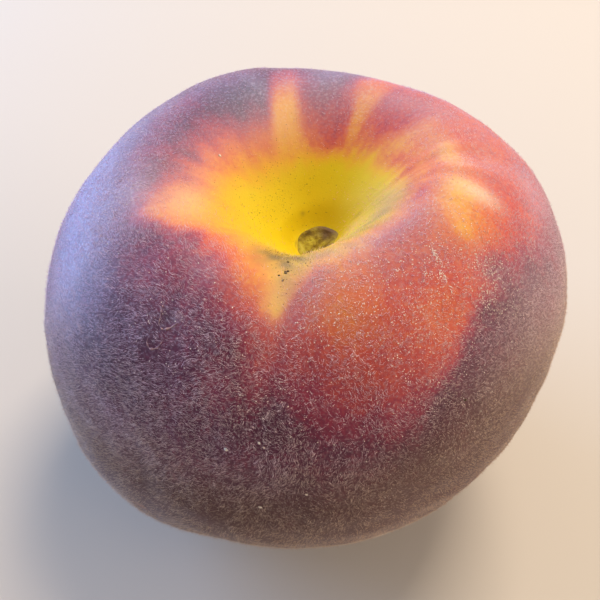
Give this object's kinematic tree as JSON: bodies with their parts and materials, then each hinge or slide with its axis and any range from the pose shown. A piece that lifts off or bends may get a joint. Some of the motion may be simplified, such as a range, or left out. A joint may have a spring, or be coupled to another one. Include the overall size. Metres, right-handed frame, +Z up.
{
  "type": "peach",
  "caption": "Whole ripe peach with a deep stem hollow, a shallow seam down the front and downy skin, standing on its base.",
  "frame": {"origin": "middle of the fruit's outline seen from above, on the ground it stands on", "axes": "+Z up, the stem hollow on top; the seam side faces -Y; +X is to the right of that side"},
  "size_m": [0.0798, 0.071, 0.0641],
  "materials": {
    "skin": "matte, downy",
    "stem_scar": "dry, corky",
    "down": "fine short hairs"
  },
  "bodies": {
    "root": {"peach": "skin"}
  },
  "joints": []
}
